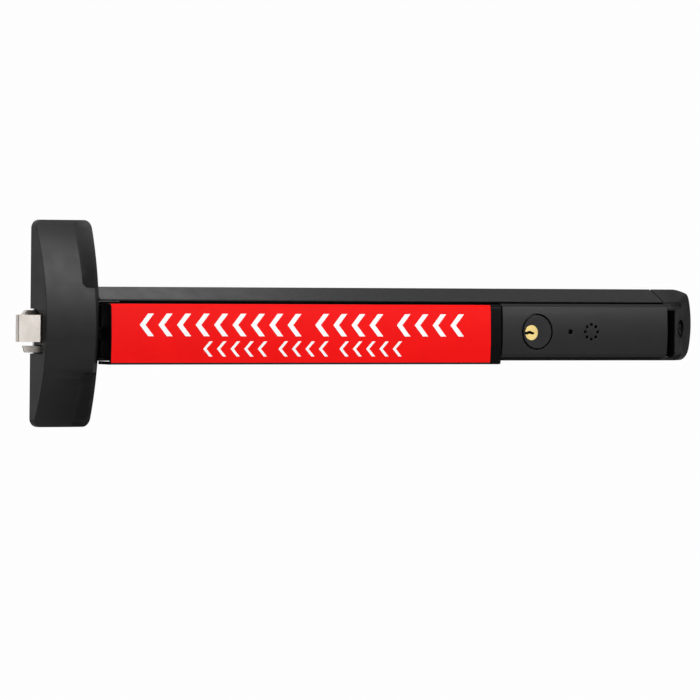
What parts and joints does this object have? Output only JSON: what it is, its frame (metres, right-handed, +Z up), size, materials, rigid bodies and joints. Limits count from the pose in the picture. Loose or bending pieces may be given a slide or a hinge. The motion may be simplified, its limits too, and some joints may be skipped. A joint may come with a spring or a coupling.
{
  "type": "panic exit bar",
  "caption": "Surface-mounted door exit bar: tall latch head with a bevelled bolt, long push bar in a hooded rail, alarm housing with a lock cylinder, and a sloping end cap.",
  "frame": {"origin": "middle of the latch head's back, on the door face", "axes": "+X along the bar from the latch head to the hinge end, +Y into the door, +Z up"},
  "size_m": [0.7642, 0.0382, 0.196],
  "materials": {
    "black_paint": "satin black enamel",
    "black_plastic": "fine-textured black plastic",
    "label_film": "red printed film",
    "satin_nickel": "satin nickel",
    "zinc_steel": "zinc-plated steel",
    "spring_steel": "spring steel",
    "cylinder_satin": "satin chrome",
    "circuit_board": "solder mask",
    "red_lens": "tinted lens",
    "battery_case": "plain metal can"
  },
  "bodies": {
    "chassis": {"head_base": "zinc_steel", "head_cover": "black_paint", "head_screw_top": "black_paint", "head_screw_bottom": "black_paint", "latch_frame": "zinc_steel", "latch_spring_stop": "zinc_steel", "deadlatch_spring_stop": "zinc_steel", "latch_spring": "spring_steel", "deadlatch_spring": "spring_steel", "lever_stud": "zinc_steel", "lever_clip": "zinc_steel", "rail_channel": "black_paint", "rail_joiner": "zinc_steel", "joiner_screw_1": "zinc_steel", "joiner_screw_2": "zinc_steel", "joiner_screw_3": "zinc_steel", "joiner_screw_4": "zinc_steel", "crank_bracket_1": "zinc_steel", "crank_bracket_2": "zinc_steel", "crank_pin_1": "zinc_steel", "crank_pin_2": "zinc_steel", "spring_guide_1": "black_plastic", "spring_guide_2": "black_plastic", "return_spring_1": "spring_steel", "return_spring_2": "spring_steel", "alarm_cover": "black_paint", "cylinder_shell": "cylinder_satin", "cylinder_ring": "cylinder_satin", "cylinder_bracket": "zinc_steel", "alarm_board": "circuit_board", "board_standoff_1": "black_plastic", "board_standoff_2": "black_plastic", "alarm_horn": "black_plastic", "led_lamp": "red_lens", "battery": "battery_case", "battery_tray": "black_plastic", "end_base": "zinc_steel", "end_cap": "black_paint", "end_cap_screw": "black_paint"},
    "push_bar": {"push_bar": "black_paint", "push_bar_label": "label_film", "push_bar_cap_left": "black_plastic", "push_bar_cap_right": "black_plastic", "bar_clevis_1": "zinc_steel", "bar_clevis_2": "zinc_steel", "clevis_pin_1": "zinc_steel", "clevis_pin_2": "zinc_steel"},
    "crank_1": {"bell_crank_1": "zinc_steel"},
    "crank_2": {"bell_crank_2": "zinc_steel"},
    "rod": {"connecting_rod": "zinc_steel", "rod_lever_pin": "zinc_steel", "rod_cross_pin_1": "zinc_steel", "rod_cross_pin_2": "zinc_steel"},
    "lever": {"retractor_lever": "zinc_steel"},
    "latch": {"latch_bolt": "satin_nickel", "latch_pin": "zinc_steel"},
    "deadlatch": {"deadlatch_bolt": "satin_nickel"},
    "lock_plug": {"cylinder_plug": "cylinder_satin", "cylinder_cam": "zinc_steel"}
  },
  "joints": [
    {"name": "push_bar_slide", "type": "slide", "parent": "chassis", "child": "push_bar", "axis": [0, 1, 0], "range_m": [0, 0.01], "stiffness_N_per_m": 900, "springref_m": -0.02, "deforming": ["return_spring_1", "return_spring_2"]},
    {"name": "crank_1_pivot", "type": "hinge", "parent": "chassis", "child": "crank_1", "pos_m": [0.13, -0.0195, -0.009], "axis": [0, 0, -1], "range_deg": [0, 28.08]},
    {"name": "crank_2_pivot", "type": "hinge", "parent": "chassis", "child": "crank_2", "pos_m": [0.38, -0.0195, -0.009], "axis": [0, 0, -1], "range_deg": [0, 28.08]},
    {"name": "rod_slide", "type": "slide", "parent": "chassis", "child": "rod", "axis": [1, 0, 0], "range_m": [0, 0.006]},
    {"name": "lever_pivot", "type": "hinge", "parent": "chassis", "child": "lever", "pos_m": [0.006, -0.01075, -0.033], "axis": [0, 1, 0], "range_deg": [0, 28.08]},
    {"name": "latch_slide", "type": "slide", "parent": "chassis", "child": "latch", "axis": [1, 0, 0], "range_m": [0, 0.018], "deforming": ["latch_spring"]},
    {"name": "deadlatch_slide", "type": "slide", "parent": "chassis", "child": "deadlatch", "axis": [1, 0, 0], "range_m": [0, 0.012], "stiffness_N_per_m": 120, "springref_m": -0.008, "deforming": ["deadlatch_spring"]},
    {"name": "lock_turn", "type": "hinge", "parent": "chassis", "child": "lock_plug", "pos_m": [0.508, -0.02, -0.0075], "axis": [0, -1, 0], "range_deg": [-90, 90]}
  ],
  "couplings": [
    {"joint": "crank_1_pivot", "follows": "push_bar_slide", "rad_per_m": 48.996},
    {"joint": "crank_2_pivot", "follows": "push_bar_slide", "rad_per_m": 48.996},
    {"joint": "rod_slide", "follows": "push_bar_slide", "ratio": 0.6},
    {"joint": "lever_pivot", "follows": "push_bar_slide", "rad_per_m": 48.996},
    {"joint": "latch_slide", "follows": "push_bar_slide", "ratio": 1.8}
  ]
}
